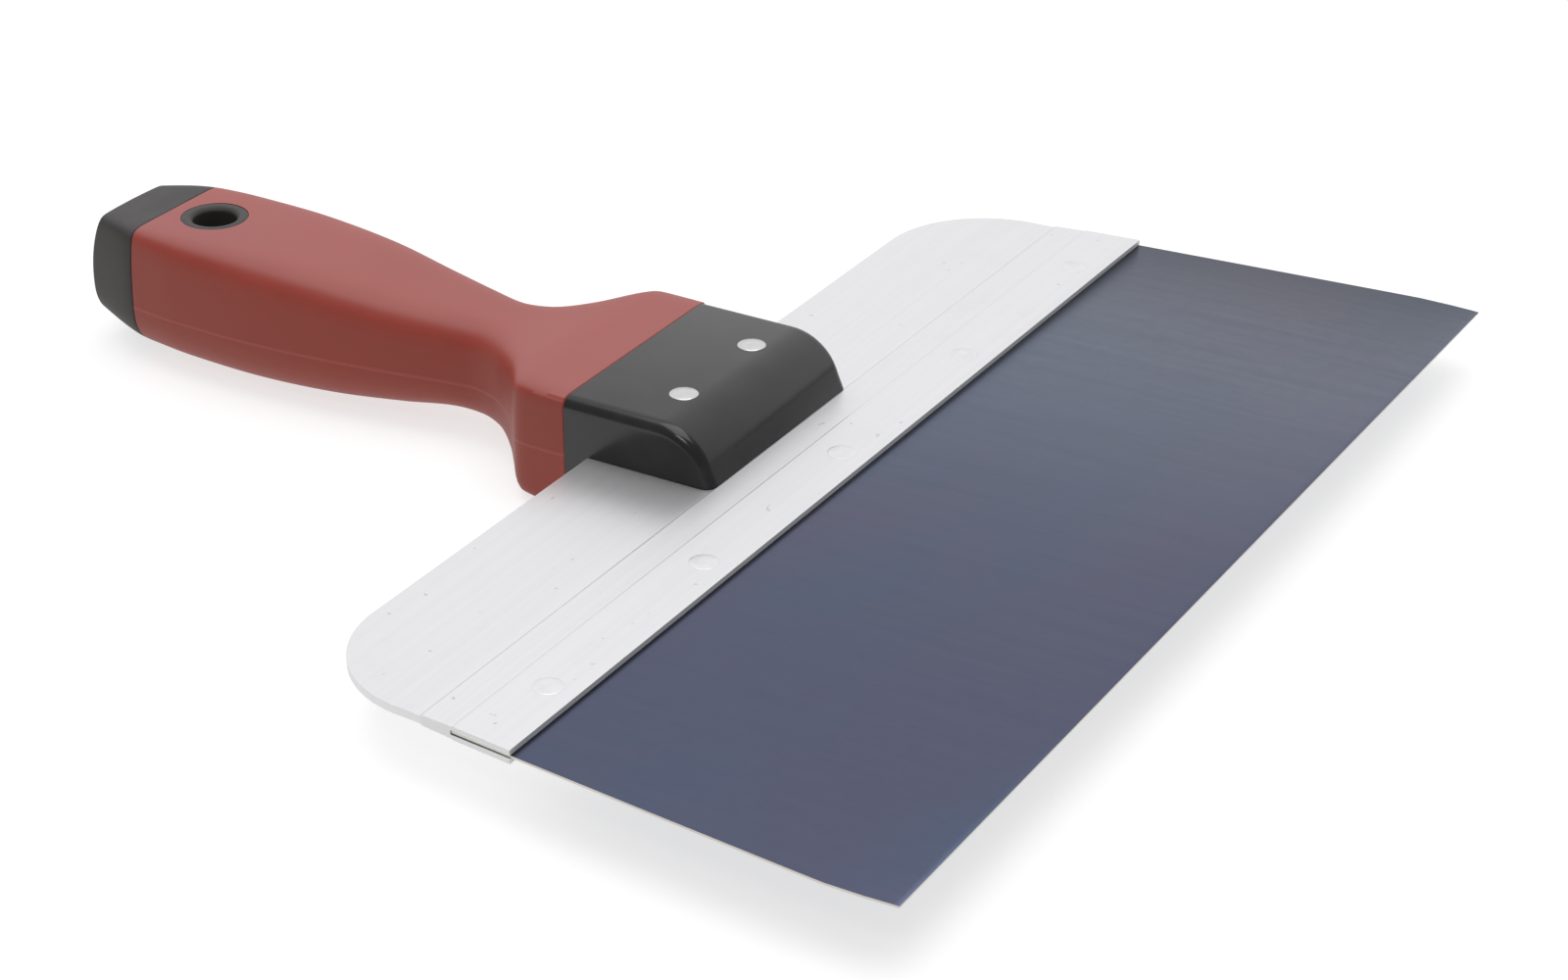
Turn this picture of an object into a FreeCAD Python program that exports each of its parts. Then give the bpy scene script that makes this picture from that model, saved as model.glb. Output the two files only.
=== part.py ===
"""Taping knife, 10 in by 3 in: a thin steel blade riveted into an aluminium backing,
and a handle with a hard core and a soft grip riveted over the backing's web.

Every piece is drawn about the datum, the middle of the backing's front edge on the
blade's middle plane: +X towards the cutting edge, +Y across the blade, +Z up. Each
placement then moves the datum to its place in the part's frame, whose origin is under
the middle of the tool, on the surface that it lies on.
"""
import FreeCAD, Part
import os
import Sketcher

# ---------------------------------------------------------------- driving dimensions, mm
SIZES = {
    # the datum in the part's frame
    "datum_ahead": 54.0,
    "datum_height": 13.2,
    # blade
    "edge_half": 127.0,
    "flare_half": 127.4,
    "blade_root_half": 120.4,
    "exposed_depth": 76.2,
    "flare_depth": 63.0,
    "blade_gauge": 0.5,
    # backing, an extrusion with a slotted front and a thinner web behind it
    "backing_half": 122.0,
    "backing_heel_half": 119.6,
    "backing_depth": 47.2,
    "backing_corner": 24.0,
    "heel_start": 22.0,
    "lip_height": 1.36,
    "lip_bevel_height": 1.1,
    "lip_bevel_depth": 0.3,
    "slot_depth": 13.0,
    "mouth_height": 0.26,
    "slot_height": 0.42,
    "band_depth": 12.3,
    "band_height": 1.24,
    "step_depth": 19.2,
    "step_height": 1.05,
    "web_height": 0.8,
    "trim_reach": 140.0,
    # rivets
    "blade_rivet_setback": 5.9,
    "blade_rivet_end": 101.6,
    "blade_rivet_shank": 1.6,
    "handle_rivet_setback": 33.7,
    "handle_rivet_side": 12.7,
    "handle_rivet_shank": 2.2,
    "rivet_head": 3.0,
    "blade_rivet_rim": 0.08,
    "blade_rivet_crown": 0.42,
    "handle_rivet_rim": 0.12,
    "handle_rivet_crown": 0.6,
    "hole_clearance": 0.03,
    # nose block of the handle core
    "block_front": 20.3,
    "block_back": 52.5,
    "block_half": 26.3,
    "block_height": 12.25,
    "block_roll": 10.0,
    "block_edge": 2.4,
    # grip, butt and hang hole
    "grip_back": 167.8,
    "grip_wall": 1.3,
    "core_round_share": 0.9,
    "handle_back": 184.2,
    "end_round": 26.0,
    "end_centre_height": 1.0,
    "hang_setback": 157.4,
    "hang_radius": 4.6,
    "eyelet_radius": 7.1,
    "eyelet_top": 16.9,
    "eyelet_bottom": 12.8,
    "slab_half": 40.0,
}
BLADE_RIVETS = 5

# Stations of the handle's outer form: setback, half width, height above and below the
# blade's plane, and the rounding of the upper and lower corners.
STATION_FIELDS = ("setback", "half", "above", "below", "round_above", "round_below")
STATIONS = {
    "front": (52.5, 26.6, 12.4, 12.3, 2.4, 2.4),
    "shoulder": (64.0, 25.6, 12.8, 11.8, 3.2, 4.0),
    "corner": (68.0, 21.8, 12.65, 11.8, 3.8, 5.4),
    "flank": (72.0, 17.6, 12.4, 11.6, 4.6, 7.0),
    "throat": (77.0, 13.4, 12.1, 11.0, 5.6, 8.8),
    "neck": (84.0, 10.8, 12.2, 9.4, 6.5, 9.4),
    "waist": (92.0, 11.8, 12.8, 8.8, 6.8, 9.8),
    "rise": (104.0, 14.0, 13.8, 10.6, 6.6, 11.5),
    "swell": (120.0, 16.4, 15.7, 12.4, 6.6, 13.2),
    "palm": (138.0, 17.7, 16.8, 13.2, 7.0, 14.0),
    "heel": (156.0, 17.4, 17.1, 12.5, 5.6, 13.0),
    "butt": (169.0, 15.8, 16.8, 11.3, 4.2, 11.0),
    "taper": (175.0, 13.6, 16.3, 9.8, 3.6, 9.0),
    "end": (187.0, 8.4, 15.0, 8.0, 3.0, 6.0),
}
for station, values in STATIONS.items():
    for field, value in zip(STATION_FIELDS, values):
        SIZES[station + "_" + field] = value

doc = FreeCAD.newDocument("taping_knife")
sheet = doc.addObject("Spreadsheet::Sheet", "Sizes")
for row, (alias, value) in enumerate(SIZES.items(), 1):
    sheet.set(f"A{row}", alias)
    sheet.set(f"B{row}", str(value))
    sheet.setAlias(f"B{row}", alias)
doc.recompute()


# ---------------------------------------------------------------- sketching helpers
def new_body(label):
    body = doc.addObject("PartDesign::Body", label)
    body.Label = label
    return body


def place_at_datum(piece, ahead="", aside="", above=""):
    """Put a piece at the datum, or off it by signed terms of the sheet."""
    piece.setExpression("Placement.Base.x", "Sizes.datum_ahead" + ahead)
    if aside:
        piece.setExpression("Placement.Base.y", aside)
    piece.setExpression("Placement.Base.z", "Sizes.datum_height" + above)


def new_sketch(body, name, role, offset=None):
    """A sketch on one of the body's origin planes, moved along its normal by offset."""
    sketch = body.newObject("Sketcher::SketchObject", name)
    planes = [feature for feature in body.Origin.OriginFeatures if feature.Role == role]
    sketch.AttachmentSupport = [(planes[0], "")]
    sketch.MapMode = "FlatFace"
    if offset:
        sketch.setExpression("AttachmentOffset.Base.z", offset)
    return sketch


def bind(sketch, constraint, expression):
    """Add a dimension and let the sheet drive it."""
    index = sketch.addConstraint(constraint)
    sketch.setExpression(f"Constraints[{index}]", expression)


def hold(sketch, curve, end, across, up):
    """Hold a curve's end at sheet sizes from the sketch's origin; a size may be negative."""
    axes = (("DistanceX", -2, across), ("DistanceY", -1, up))
    for kind, axis, size in axes:
        name = size.lstrip("-")
        if name == "zero":
            sketch.addConstraint(Sketcher.Constraint("PointOnObject", curve, end, axis))
        elif size.startswith("-"):
            rule = Sketcher.Constraint(kind, curve, end, -1, 1, SIZES[name])
            bind(sketch, rule, "Sizes." + name)
        else:
            rule = Sketcher.Constraint(kind, -1, 1, curve, end, SIZES[name])
            bind(sketch, rule, "Sizes." + name)


def number(size):
    """The value of a signed size name."""
    value = 0.0 if size.endswith("zero") else SIZES[size.lstrip("-")]
    return -value if size.startswith("-") else value


def draw_polygon(sketch, corners):
    """A closed chain of lines through corners given as pairs of signed size names."""
    points = [FreeCAD.Vector(number(across), number(up), 0) for across, up in corners]
    first = sketch.GeometryCount
    for start, stop in zip(points, points[1:] + points[:1]):
        sketch.addGeometry(Part.LineSegment(start, stop))
    for index, (across, up) in enumerate(corners):
        following = first + (index + 1) % len(corners)
        joint = Sketcher.Constraint("Coincident", first + index, 2, following, 1)
        sketch.addConstraint(joint)
        hold(sketch, first + index, 1, across, up)


def draw_circle(sketch, across, up, radius, extra=""):
    """A circle held at a pair of signed sizes, its radius a size plus an extra term."""
    centre = FreeCAD.Vector(number(across), number(up), 0)
    circle = Part.Circle(centre, FreeCAD.Vector(0, 0, 1), SIZES[radius])
    curve = sketch.addGeometry(circle)
    hold(sketch, curve, 3, across, up)
    rule = Sketcher.Constraint("Radius", curve, SIZES[radius])
    bind(sketch, rule, "Sizes." + radius + extra)


def pad(body, name, sketch, length):
    """Pad a sketch to both sides of its plane, length being the whole thickness."""
    feature = body.newObject("PartDesign::Pad", name)
    feature.Profile = sketch
    feature.SideType = "Symmetric"
    feature.setExpression("Length", length)
    return feature


def pocket_through(body, name, sketch):
    """Cut a sketch through everything, both ways from its plane."""
    feature = body.newObject("PartDesign::Pocket", name)
    feature.Profile = sketch
    feature.SideType = "Symmetric"
    feature.Type = "ThroughAll"
    return feature


def round_edges(body, name, radius, wanted):
    """Fillet the edges of the body's last feature that the test picks."""
    doc.recompute()
    base = body.Tip
    edges = []
    for index, edge in enumerate(base.Shape.Edges, 1):
        if wanted(edge):
            edges.append(f"Edge{index}")
    feature = body.newObject("PartDesign::Fillet", name)
    feature.Base = (base, edges)
    feature.setExpression("Radius", "Sizes." + radius)
    return feature


def row_of_holes(body):
    """Five holes for the blade rivets, across the blade at equal pitch."""
    sketch = new_sketch(body, body.Label + "_hole_sketch", "XY_Plane")
    draw_circle(sketch, "-blade_rivet_setback", "-blade_rivet_end", "blade_rivet_shank",
                " + Sizes.hole_clearance")
    hole = pocket_through(body, body.Label + "_hole", sketch)
    doc.recompute()
    row = body.newObject("PartDesign::LinearPattern", body.Label + "_holes")
    row.Originals = [hole]
    row.Direction = (sketch, ["V_Axis"])
    row.setExpression("Length", "2 * Sizes.blade_rivet_end")
    row.Occurrences = BLADE_RIVETS
    body.Tip = row


# ---------------------------------------------------------------- blade and backing
def make_blade():
    """Thin sheet that flares from the backing and tucks in just before the edge."""
    body = new_body("blade")
    sketch = new_sketch(body, "blade_outline", "XY_Plane")
    draw_polygon(sketch, [
        ("-slot_depth", "blade_root_half"),
        ("flare_depth", "flare_half"),
        ("exposed_depth", "edge_half"),
        ("exposed_depth", "-edge_half"),
        ("flare_depth", "-flare_half"),
        ("-slot_depth", "-blade_root_half"),
    ])
    pad(body, "blade_sheet", sketch, "Sizes.blade_gauge")
    row_of_holes(body)
    place_at_datum(body)
    return body


def make_backing():
    """Extruded section run across the blade, its ends trimmed and its back corners round."""
    body = new_body("backing")
    section = new_sketch(body, "backing_section", "XZ_Plane")
    upper = [
        ("-slot_depth", "slot_height"),
        ("zero", "mouth_height"),
        ("zero", "lip_bevel_height"),
        ("-lip_bevel_depth", "lip_height"),
        ("-band_depth", "lip_height"),
        ("-band_depth", "band_height"),
        ("-step_depth", "step_height"),
        ("-step_depth", "web_height"),
        ("-backing_depth", "web_height"),
    ]
    lower = [(across, "-" + up) for across, up in reversed(upper)]
    draw_polygon(section, upper + lower)
    pad(body, "backing_extrusion", section, "2 * Sizes.backing_half")
    trim = new_sketch(body, "backing_trim", "XY_Plane")
    draw_polygon(trim, [
        ("trim_reach", "trim_reach"),
        ("-trim_reach", "trim_reach"),
        ("-trim_reach", "-trim_reach"),
        ("trim_reach", "-trim_reach"),
    ])
    draw_polygon(trim, [
        ("slot_depth", "backing_half"),
        ("zero", "backing_half"),
        ("-heel_start", "backing_heel_half"),
        ("-backing_depth", "backing_heel_half"),
        ("-backing_depth", "-backing_heel_half"),
        ("-heel_start", "-backing_heel_half"),
        ("zero", "-backing_half"),
        ("slot_depth", "-backing_half"),
    ])
    pocket_through(body, "backing_ends", trim)
    back = -SIZES["backing_depth"]

    def is_back_corner(edge):
        ends = [vertex.Point for vertex in edge.Vertexes]
        upright = len(ends) == 2 and abs(ends[0].z - ends[1].z) > SIZES["web_height"]
        return upright and all(abs(point.x - back) < 0.01 for point in ends)

    round_edges(body, "backing_corners", "backing_corner", is_back_corner)
    row_of_holes(body)
    sketch = new_sketch(body, "backing_handle_holes", "XY_Plane")
    for side in ("", "-"):
        draw_circle(sketch, "-handle_rivet_setback", side + "handle_rivet_side",
                    "handle_rivet_shank", " + Sizes.hole_clearance")
    pocket_through(body, "backing_handle_hole_pair", sketch)
    place_at_datum(body)
    return body


# ---------------------------------------------------------------- rivets
def make_rivet(label, seat, kind, setback, aside):
    """A rivet set at both ends: a shank, and a low domed head on each seat."""
    body = new_body(label)
    sketch = new_sketch(body, label + "_section", "XZ_Plane")
    seat_height = SIZES[seat]
    shank = SIZES[kind + "_shank"]
    head = SIZES["rivet_head"]
    rim = seat_height + SIZES[kind + "_rim"]
    crown = seat_height + SIZES[kind + "_crown"]
    drop = crown - rim
    dome = (head * head + drop * drop) / (2 * drop)
    chain = [(0, -crown), (0, crown), (head, rim), (head, seat_height), (shank, seat_height),
             (shank, -seat_height), (head, -seat_height), (head, -rim)]
    points = [FreeCAD.Vector(across, up, 0) for across, up in chain]
    pairs = list(zip(points, points[1:] + points[:1]))
    for index, (start, stop) in enumerate(pairs):
        if index in (1, len(pairs) - 1):
            side = 1 if index == 1 else -1
            middle = FreeCAD.Vector(0, side * (crown - dome), 0)
            through = middle + ((start + stop) / 2 - middle).normalize() * dome
            sketch.addGeometry(Part.Arc(start, through, stop))
        else:
            sketch.addGeometry(Part.LineSegment(start, stop))
    # the chain runs clockwise and an arc anticlockwise, so each dome's ends are swapped
    domes = (1, len(pairs) - 1)
    for index in range(len(pairs)):
        following = (index + 1) % len(pairs)
        stop = 1 if index in domes else 2
        start = 2 if following in domes else 1
        sketch.addConstraint(Sketcher.Constraint("Coincident", index, stop, following, start))
    for index in domes:
        sketch.addConstraint(Sketcher.Constraint("PointOnObject", index, 3, -2))
    sketch.addConstraint(Sketcher.Constraint("PointOnObject", 0, 1, -2))
    sketch.addConstraint(Sketcher.Constraint("PointOnObject", 0, 2, -2))
    for line in (2, 4, 6):
        sketch.addConstraint(Sketcher.Constraint("Vertical", line))
    for line in (3, 5):
        sketch.addConstraint(Sketcher.Constraint("Horizontal", line))
    across = {3: (shank, "Sizes." + kind + "_shank"), 2: (head, "Sizes.rivet_head"),
              6: (head, "Sizes.rivet_head")}
    for line, (value, name) in across.items():
        end = 2 if line == 3 else 1
        bind(sketch, Sketcher.Constraint("DistanceX", -1, 1, line, end, value), name)
    heights = {
        (0, 2): (crown, f" + Sizes.{kind}_crown"),
        (2, 1): (rim, f" + Sizes.{kind}_rim"),
        (3, 1): (seat_height, ""),
    }
    for (line, end), (value, term) in heights.items():
        rule = Sketcher.Constraint("DistanceY", -1, 1, line, end, value)
        bind(sketch, rule, f"Sizes.{seat}{term}")
    depths = {
        (0, 1): (crown, f" + Sizes.{kind}_crown"),
        (6, 2): (rim, f" + Sizes.{kind}_rim"),
        (6, 1): (seat_height, ""),
    }
    for (line, end), (value, term) in depths.items():
        rule = Sketcher.Constraint("DistanceY", line, end, -1, 1, value)
        bind(sketch, rule, f"Sizes.{seat}{term}")
    turn = body.newObject("PartDesign::Revolution", label + "_turned")
    turn.Profile = sketch
    turn.ReferenceAxis = (sketch, ["V_Axis"])
    turn.Angle = 360
    place_at_datum(body, " - Sizes." + setback, aside)
    return body


# ---------------------------------------------------------------- handle
def draw_section(body, station, inset):
    """A handle section, its corners rounded; inset draws the core inside the grip."""
    kind = "core" if inset else "form"
    sketch = new_sketch(body, f"{kind}_{station}", "YZ_Plane", f"-Sizes.{station}_setback")
    wall = SIZES["grip_wall"] if inset else 0.0
    share = SIZES["core_round_share"] if inset else 1.0
    wall_term = " - Sizes.grip_wall" if inset else ""
    share_term = " * Sizes.core_round_share" if inset else ""
    half = SIZES[station + "_half"] - wall
    above = SIZES[station + "_above"] - wall
    below = SIZES[station + "_below"] - wall
    upper = SIZES[station + "_round_above"] * share
    lower = SIZES[station + "_round_below"] * share
    corners = [(half, -below, lower), (half, above, upper), (-half, above, upper),
               (-half, -below, lower)]
    starts = []
    stops = []
    for across, up, radius in corners:
        side = 1 if across > 0 else -1
        top = 1 if up > 0 else -1
        centre = FreeCAD.Vector(across - side * radius, up - top * radius, 0)
        at_side = centre + FreeCAD.Vector(side * radius, 0, 0)
        at_level = centre + FreeCAD.Vector(0, top * radius, 0)
        slant = FreeCAD.Vector(side, top, 0).normalize() * radius
        enters, leaves = (at_level, at_side) if side * top < 0 else (at_side, at_level)
        arc = sketch.addGeometry(Part.Arc(enters, centre + slant, leaves))
        starts.append((enters, arc))
        stops.append((leaves, arc))
    lines = []
    for index in range(4):
        start, arc = stops[index]
        stop, next_arc = starts[(index + 1) % 4]
        line = sketch.addGeometry(Part.LineSegment(start, stop))
        sketch.addConstraint(Sketcher.Constraint("Tangent", arc, 2, line, 1))
        sketch.addConstraint(Sketcher.Constraint("Tangent", line, 2, next_arc, 1))
        lines.append(line)
    right, top, left, bottom = lines
    for line in (right, left):
        sketch.addConstraint(Sketcher.Constraint("Vertical", line))
    for line in (top, bottom):
        sketch.addConstraint(Sketcher.Constraint("Horizontal", line))
    dimensions = [
        (("DistanceX", -1, 1, right, 1, half), f"Sizes.{station}_half{wall_term}"),
        (("DistanceX", left, 1, -1, 1, half), f"Sizes.{station}_half{wall_term}"),
        (("DistanceY", -1, 1, top, 1, above), f"Sizes.{station}_above{wall_term}"),
        (("DistanceY", bottom, 1, -1, 1, below), f"Sizes.{station}_below{wall_term}"),
        (("Radius", 1, upper), f"Sizes.{station}_round_above{share_term}"),
        (("Radius", 2, upper), f"Sizes.{station}_round_above{share_term}"),
        (("Radius", 0, lower), f"Sizes.{station}_round_below{share_term}"),
        (("Radius", 3, lower), f"Sizes.{station}_round_below{share_term}"),
    ]
    for rule, expression in dimensions:
        bind(sketch, Sketcher.Constraint(*rule), expression)
    return sketch


def loft_handle(label, stations, inset):
    """Loft along the handle: straight over the shoulder's sides, then one long run.

    The outer form's run is smooth, and the core inside the grip goes straight from
    station to station, so that it stays under the grip.
    """
    body = new_body(label)
    sections = [draw_section(body, station, inset) for station in stations]
    for name, run in (("shoulder", sections[:2]), ("shaft", sections[1:])):
        loft = body.newObject("PartDesign::AdditiveLoft", f"{label}_{name}")
        loft.Profile = run[0]
        loft.Sections = run[1:]
        loft.Ruled = inset
    place_at_datum(body)
    return body


def make_slab(label, front, back):
    """A block across the handle between two setbacks, used to divide its outer form."""
    slab = doc.addObject("Part::Box", label)
    slab.setExpression("Length", f"Sizes.{back} - Sizes.{front}")
    slab.setExpression("Width", "2 * Sizes.slab_half")
    slab.setExpression("Height", "2 * Sizes.slab_half")
    place_at_datum(slab, f" - Sizes.{back}", "-Sizes.slab_half", " - Sizes.slab_half")
    return slab


def make_post(label, radius, top, bottom):
    """An upright cylinder on the hang hole's axis."""
    post = doc.addObject("Part::Cylinder", label)
    post.setExpression("Radius", "Sizes." + radius)
    post.setExpression("Height", f"Sizes.{top} + Sizes.{bottom}")
    place_at_datum(post, " - Sizes.hang_setback", "", f" - Sizes.{bottom}")
    return post


def make_nose_block():
    """Rectangular nose with a rolled front, slotted for the backing's web."""
    body = new_body("nose_block")
    side = new_sketch(body, "block_side", "XZ_Plane")
    draw_polygon(side, [
        ("-block_front", "block_height"),
        ("-block_back", "block_height"),
        ("-block_back", "-block_height"),
        ("-block_front", "-block_height"),
    ])
    pad(body, "block_solid", side, "2 * Sizes.block_half")
    front = -SIZES["block_front"]

    def is_front_edge(edge):
        middle = edge.CenterOfMass
        return abs(middle.x - front) < 0.01 and abs(middle.y) < 0.01

    def is_side_edge(edge):
        middle = edge.CenterOfMass
        on_side = abs(abs(middle.y) - SIZES["block_half"]) < 0.01
        return on_side and middle.x > -SIZES["block_back"] + 0.01

    round_edges(body, "block_roll_edges", "block_roll", is_front_edge)
    round_edges(body, "block_side_edges", "block_edge", is_side_edge)
    slot = new_sketch(body, "block_slot", "XZ_Plane")
    draw_polygon(slot, [
        ("zero", "web_height"),
        ("-backing_depth", "web_height"),
        ("-backing_depth", "-web_height"),
        ("zero", "-web_height"),
    ])
    pocket_through(body, "block_web_slot", slot)
    holes = new_sketch(body, "block_rivet_holes", "XY_Plane")
    for sign in ("", "-"):
        draw_circle(holes, "-handle_rivet_setback", sign + "handle_rivet_side",
                    "handle_rivet_shank", " + Sizes.hole_clearance")
    pocket_through(body, "block_rivet_hole_pair", holes)
    place_at_datum(body)
    return body


def make_handle():
    """The hard core, from nose block to butt, and the soft grip moulded around it."""
    names = list(STATIONS)
    form = loft_handle("handle_form", names, inset=False)
    spine = loft_handle("core_spine", names[:names.index("butt") + 1], inset=True)
    block = make_nose_block()
    grip_slab = make_slab("grip_slab", "block_back", "grip_back")
    butt_slab = make_slab("butt_slab", "grip_back", "end_setback")
    end_roll = doc.addObject("Part::Cylinder", "end_roll")
    end_roll.Placement = FreeCAD.Placement(
        FreeCAD.Vector(), FreeCAD.Rotation(FreeCAD.Vector(1, 0, 0), -90))
    end_roll.setExpression("Radius", "Sizes.end_round")
    end_roll.setExpression("Height", "2 * Sizes.slab_half")
    place_at_datum(end_roll, " - Sizes.handle_back + Sizes.end_round", "-Sizes.slab_half",
                   " + Sizes.end_centre_height")
    butt = doc.addObject("Part::MultiCommon", "butt")
    butt.Shapes = [form, butt_slab, end_roll]
    eyelet = make_post("eyelet", "eyelet_radius", "eyelet_top", "eyelet_bottom")
    solid_core = doc.addObject("Part::MultiFuse", "solid_core")
    solid_core.Shapes = [block, spine, butt, eyelet]
    hang_hole = make_post("hang_hole", "hang_radius", "slab_half", "slab_half")
    core = doc.addObject("Part::Cut", "handle_core")
    core.Base = solid_core
    core.Tool = hang_hole
    grip_form = doc.addObject("Part::MultiCommon", "grip_form")
    grip_form.Shapes = [form, grip_slab]
    filled_core = doc.addObject("Part::MultiFuse", "filled_core")
    filled_core.Shapes = [core, hang_hole]
    grip = doc.addObject("Part::Cut", "grip_sleeve")
    grip.Base = grip_form
    grip.Tool = filled_core
    return [core, grip]


# ---------------------------------------------------------------- build and write
subparts = [make_blade(), make_backing()]
for place in range(BLADE_RIVETS):
    offset = f"Sizes.blade_rivet_end * {2 * place - BLADE_RIVETS + 1} / {BLADE_RIVETS - 1}"
    subparts.append(make_rivet(f"blade_rivet_{place + 1}", "lip_height", "blade_rivet",
                               "blade_rivet_setback", offset))
for name, offset in (("right", "-Sizes.handle_rivet_side"), ("left", "Sizes.handle_rivet_side")):
    subparts.append(make_rivet("handle_rivet_" + name, "block_height", "handle_rivet",
                               "handle_rivet_setback", offset))
subparts += make_handle()
doc.recompute()

for item in doc.Objects:
    if {"Invalid", "Error"} & set(item.State):
        raise RuntimeError(item.Name + " did not compute")
for part in subparts:
    if part.Shape.isNull() or not part.Shape.isValid() or len(part.Shape.Solids) != 1:
        raise RuntimeError(part.Label + " is not one valid solid")

os.makedirs("parts", exist_ok=True)
for part in subparts:
    part.Shape.exportStep(f"parts/{part.Label}.step")
    box = part.Shape.BoundBox
    spans = f"x {box.XMin:.2f}..{box.XMax:.2f} y {box.YMin:.2f}..{box.YMax:.2f}"
    print(f"{part.Label}: {part.Shape.Volume:.1f} mm3 {spans} z {box.ZMin:.2f}..{box.ZMax:.2f}")
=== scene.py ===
import math

import bmesh
import bpy
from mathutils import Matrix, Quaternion, Vector


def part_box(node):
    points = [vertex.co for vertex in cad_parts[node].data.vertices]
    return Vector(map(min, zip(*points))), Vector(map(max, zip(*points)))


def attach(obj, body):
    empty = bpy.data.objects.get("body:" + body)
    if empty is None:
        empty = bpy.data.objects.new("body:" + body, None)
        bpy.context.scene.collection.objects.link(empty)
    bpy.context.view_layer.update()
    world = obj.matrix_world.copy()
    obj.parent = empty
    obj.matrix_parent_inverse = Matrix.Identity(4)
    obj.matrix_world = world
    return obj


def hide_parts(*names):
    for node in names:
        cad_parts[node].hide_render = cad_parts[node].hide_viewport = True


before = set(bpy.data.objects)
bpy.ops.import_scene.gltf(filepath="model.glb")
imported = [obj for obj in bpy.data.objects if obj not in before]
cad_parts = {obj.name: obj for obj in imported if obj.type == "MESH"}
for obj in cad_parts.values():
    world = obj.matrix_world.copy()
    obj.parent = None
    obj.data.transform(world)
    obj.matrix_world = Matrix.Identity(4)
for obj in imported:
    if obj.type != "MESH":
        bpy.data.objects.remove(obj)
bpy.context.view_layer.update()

# Looks of a 10 in by 3 in taping knife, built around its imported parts. Lengths are in
# millimetres in the makers below and become metres in at(). A setback is the distance behind
# the backing's front edge, so it is negative towards the cutting edge, and a height is
# measured from the blade's middle plane.
MM = 0.001
BODY = "root"
ALONG, UP = 0, 2
blade_low, blade_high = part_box("blade")
backing_low, backing_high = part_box("backing")
DATUM = Vector((backing_high.x, 0, (blade_low.z + blade_high.z) / 2))


def at(setback, across, height):
    """A point of the tool, in metres."""
    return DATUM + Vector((-setback, across, height)) * MM


# ---------------------------------------------------------------- node building
class Wire:
    """An output socket. Arithmetic on it adds Math nodes to its tree."""

    def __init__(self, nodes, socket):
        self.nodes = nodes
        self.socket = socket

    def math(self, operation, first, second=0.0):
        values = {0: first, 1: second}
        return self.nodes.node("ShaderNodeMath", {"operation": operation}, values)

    def __add__(self, other):
        return self.math("ADD", self, other)

    def __sub__(self, other):
        return self.math("SUBTRACT", self, other)

    def __rsub__(self, other):
        return self.math("SUBTRACT", other, self)

    def __mul__(self, other):
        return self.math("MULTIPLY", self, other)

    def __abs__(self):
        return self.math("ABSOLUTE", self)

    __radd__ = __add__
    __rmul__ = __mul__

    def ramp(self, low, high):
        """0 at low and 1 at high, smooth in between."""
        settings = {"interpolation_type": "SMOOTHSTEP"}
        values = {"Value": self, "From Min": low, "From Max": high}
        return self.nodes.node("ShaderNodeMapRange", settings, values)


class Nodes:
    """A node tree under construction, for a material or for geometry."""

    def __init__(self, tree):
        self.tree = tree

    def node(self, kind, settings, values, result=0):
        """One node: its type, its settings, its sockets' values or links, and its output."""
        made = self.tree.nodes.new(kind)
        for name, setting in settings.items():
            setattr(made, name, setting)
        for name, value in values.items():
            self.feed(made.inputs[name], value)
        return Wire(self, made.outputs[result])

    def feed(self, socket, value):
        if isinstance(value, Wire):
            self.tree.links.new(value.socket, socket)
        else:
            socket.default_value = value


MIX_FIRST, MIX_SECOND, MIX_RESULT = 6, 7, 2  # the colour sockets of a Mix node


class Finish(Nodes):
    """A material around one Principled shader."""

    def __init__(self, name, **shader_values):
        self.material = bpy.data.materials.new(name)
        self.material.use_nodes = True
        super().__init__(self.material.node_tree)
        self.shader = self.tree.nodes["Principled BSDF"]
        self.place = self.node("ShaderNodeTexCoord", {}, {}, "Object")
        self.set(**shader_values)

    def set(self, **shader_values):
        for name, value in shader_values.items():
            self.feed(self.shader.inputs[name.replace("_", " ")], value)

    def stretched(self, along, across, up):
        """Object coordinates in cells per millimetre along each axis."""
        scale = Vector((along, across, up)) / MM
        return self.node("ShaderNodeMapping", {}, {"Vector": self.place, "Scale": scale})

    def noise(self, along, across, up, detail=3.0, roughness=0.55):
        values = {"Vector": self.stretched(along, across, up), "Scale": 1.0, "Detail": detail,
                  "Roughness": roughness}
        return self.node("ShaderNodeTexNoise", {}, values)

    def blend(self, factor, first, second):
        """A colour between two others."""
        values = {"Factor": factor, MIX_FIRST: colour(first), MIX_SECOND: colour(second)}
        return self.node("ShaderNodeMix", {"data_type": "RGBA"}, values, MIX_RESULT)

    def facing(self, axis):
        """How far the surface faces along an axis of the tool, from -1 to 1."""
        normal = self.node("ShaderNodeTexCoord", {}, {}, "Normal")
        return self.node("ShaderNodeSeparateXYZ", {}, {"Vector": normal}, axis)

    def position(self, axis):
        """The place along an axis of the tool, in millimetres."""
        split = self.node("ShaderNodeSeparateXYZ", {}, {"Vector": self.place}, axis)
        return split * (1 / MM)

    def bump(self, height, depth_mm):
        values = {"Height": height, "Distance": depth_mm * MM, "Strength": 1.0}
        self.set(Normal=self.node("ShaderNodeBump", {}, values))


def colour(value):
    """A link as it is, or three numbers with full opacity added."""
    return value if isinstance(value, Wire) else (*value, 1.0)


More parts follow.
